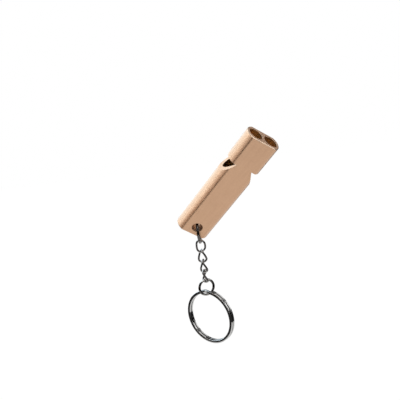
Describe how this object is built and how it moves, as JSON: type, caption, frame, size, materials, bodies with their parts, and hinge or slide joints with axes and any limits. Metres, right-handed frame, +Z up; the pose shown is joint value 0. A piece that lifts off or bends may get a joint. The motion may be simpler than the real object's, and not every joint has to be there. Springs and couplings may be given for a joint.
{
  "type": "survival whistle",
  "caption": "Flat double-tube aluminium whistle with side windows, hung on a short curb chain with a split key ring.",
  "frame": {"origin": "middle of the lanyard hole, half way between the broad faces, where finger and thumb hold the whistle", "axes": "+Z up, against gravity, with the chain hanging along -Z; +X to the right, the side to which the whistle leans; -Y to the front, to which the mouth end tips"},
  "size_m": [0.0445, 0.0304, 0.089],
  "materials": {
    "gold_anodised_aluminium": "bead-blasted and anodised champagne gold, satin",
    "nickel_plated_steel": "bright nickel plate on steel wire"
  },
  "bodies": {
    "whistle": {"whistle_body": "gold_anodised_aluminium", "left_fipple_plug": "gold_anodised_aluminium", "right_fipple_plug": "gold_anodised_aluminium"},
    "body_ring": {"body_ring": "nickel_plated_steel"},
    "chain_link_1": {"chain_link_1": "nickel_plated_steel"},
    "chain_link_2": {"chain_link_2": "nickel_plated_steel"},
    "chain_link_3": {"chain_link_3": "nickel_plated_steel"},
    "chain_link_4": {"chain_link_4": "nickel_plated_steel"},
    "jump_ring": {"jump_ring": "nickel_plated_steel"},
    "split_ring": {"split_ring": "nickel_plated_steel"}
  },
  "joints": [
    {"name": "body_ring_swing", "type": "hinge", "parent": "whistle", "child": "body_ring", "pos_m": [0, 0, 0], "axis": [0, 0.891, 0.454], "range_deg": [-40, 110]},
    {"name": "link_1_swing", "type": "hinge", "parent": "body_ring", "child": "chain_link_1", "pos_m": [0, 0.00203, -0.00923], "axis": [0, 1, 0], "range_deg": [-30, 30]},
    {"name": "link_2_swing", "type": "hinge", "parent": "chain_link_1", "child": "chain_link_2", "pos_m": [0, 0.00203, -0.01252], "axis": [0.1045, -0.9945, 0], "range_deg": [-30, 30]},
    {"name": "link_3_swing", "type": "hinge", "parent": "chain_link_2", "child": "chain_link_3", "pos_m": [0, 0.00203, -0.01772], "axis": [0.9945, 0.1045, 0], "range_deg": [-30, 30]},
    {"name": "link_4_swing", "type": "hinge", "parent": "chain_link_3", "child": "chain_link_4", "pos_m": [0, 0.00203, -0.02116], "axis": [-0.5878, -0.809, 0], "range_deg": [-30, 30]},
    {"name": "jump_ring_swing", "type": "hinge", "parent": "chain_link_4", "child": "jump_ring", "pos_m": [0, 0.00203, -0.02636], "axis": [0.809, -0.5878, 0], "range_deg": [-35, 35]},
    {"name": "split_ring_swing", "type": "hinge", "parent": "jump_ring", "child": "split_ring", "pos_m": [0, 0.00203, -0.03178], "axis": [0.891, 0.454, 0], "range_deg": [-45, 45]}
  ]
}
